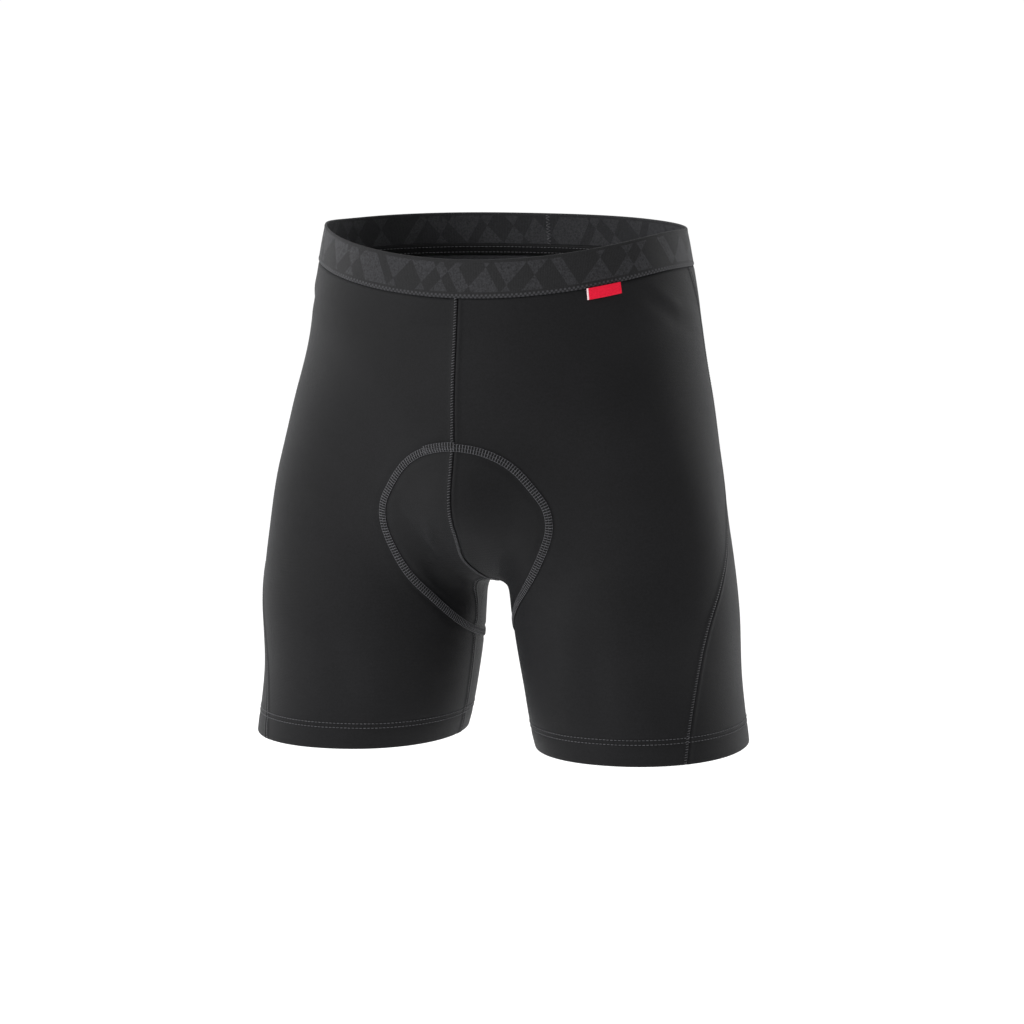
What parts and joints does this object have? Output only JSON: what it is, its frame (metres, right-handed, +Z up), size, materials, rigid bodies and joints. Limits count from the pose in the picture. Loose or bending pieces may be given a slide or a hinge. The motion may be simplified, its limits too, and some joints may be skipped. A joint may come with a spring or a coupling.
{
  "type": "cycling undershorts",
  "caption": "Hollow padded cycling undershorts, filled out as worn: elastic waistband, sewn front and back panels, moulded seat pad inside and a small side tab.",
  "frame": {"origin": "middle of the waistband's ring, where the wearer's waist holds the garment up", "axes": "+Z up, -Y the front, +X the wearer's left"},
  "size_m": [0.429, 0.2751, 0.4362],
  "materials": {
    "waist_elastic": "woven elastic with a tonal jacquard, matt",
    "jersey": "fine stretch jersey, near black, soft sheen",
    "pad_foam": "moulded foam under brushed green microfibre, matt",
    "label_tape": "folded red woven tape, slightly glossy"
  },
  "bodies": {
    "root": {"waistband": "waist_elastic", "front_left": "jersey", "front_right": "jersey", "back_left": "jersey", "back_right": "jersey", "seat_pad": "pad_foam", "label": "label_tape"}
  },
  "joints": []
}
